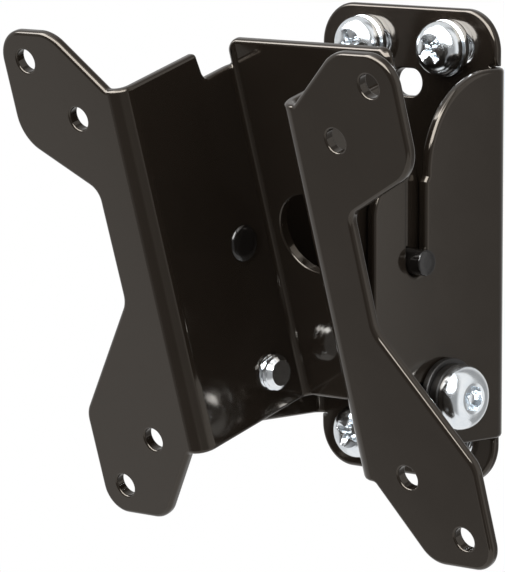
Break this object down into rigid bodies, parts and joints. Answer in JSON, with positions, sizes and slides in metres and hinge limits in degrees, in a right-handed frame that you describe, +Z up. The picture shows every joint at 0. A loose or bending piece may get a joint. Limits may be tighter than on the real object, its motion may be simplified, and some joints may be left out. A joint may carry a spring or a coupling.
{
  "type": "tv wall mount",
  "caption": "Tilting wall mount for a small screen: a folded wall bracket with hook slots carries a hat-shaped screen bracket with wings, clamped by side bolts.",
  "frame": {"origin": "centre of the wall bracket's back face, which is also the centre of the wall screw pattern", "axes": "+Y points into the wall and -Y into the room, +Z is up, +X is to the right as seen from the room"},
  "size_m": [0.1146, 0.0791, 0.1134],
  "materials": {
    "black_coat": "gloss black powder coat",
    "black_pin": "semi-gloss black",
    "zinc": "bright zinc plate"
  },
  "bodies": {
    "wall_side": {"wall_bracket": "black_coat", "wall_screw_top_left": "zinc", "wall_screw_top_right": "zinc", "wall_screw_bottom_left": "zinc", "wall_screw_bottom_right": "zinc", "wall_washer_top_left": "zinc", "wall_washer_top_right": "zinc", "wall_washer_bottom_left": "zinc", "wall_washer_bottom_right": "zinc"},
    "tilt_head": {"screen_bracket": "black_coat", "pivot_pin_left": "black_pin", "pivot_pin_right": "black_pin", "lock_bolt_left": "zinc", "lock_bolt_right": "zinc", "lock_washer_left": "black_pin", "lock_washer_right": "black_pin", "spring_washer_left": "black_pin", "spring_washer_right": "black_pin"}
  },
  "joints": [
    {"name": "tilt", "type": "hinge", "parent": "wall_side", "child": "tilt_head", "pos_m": [0, -0.0301, 0], "axis": [1, 0, 0], "range_deg": [-17.2, 2.8]}
  ]
}
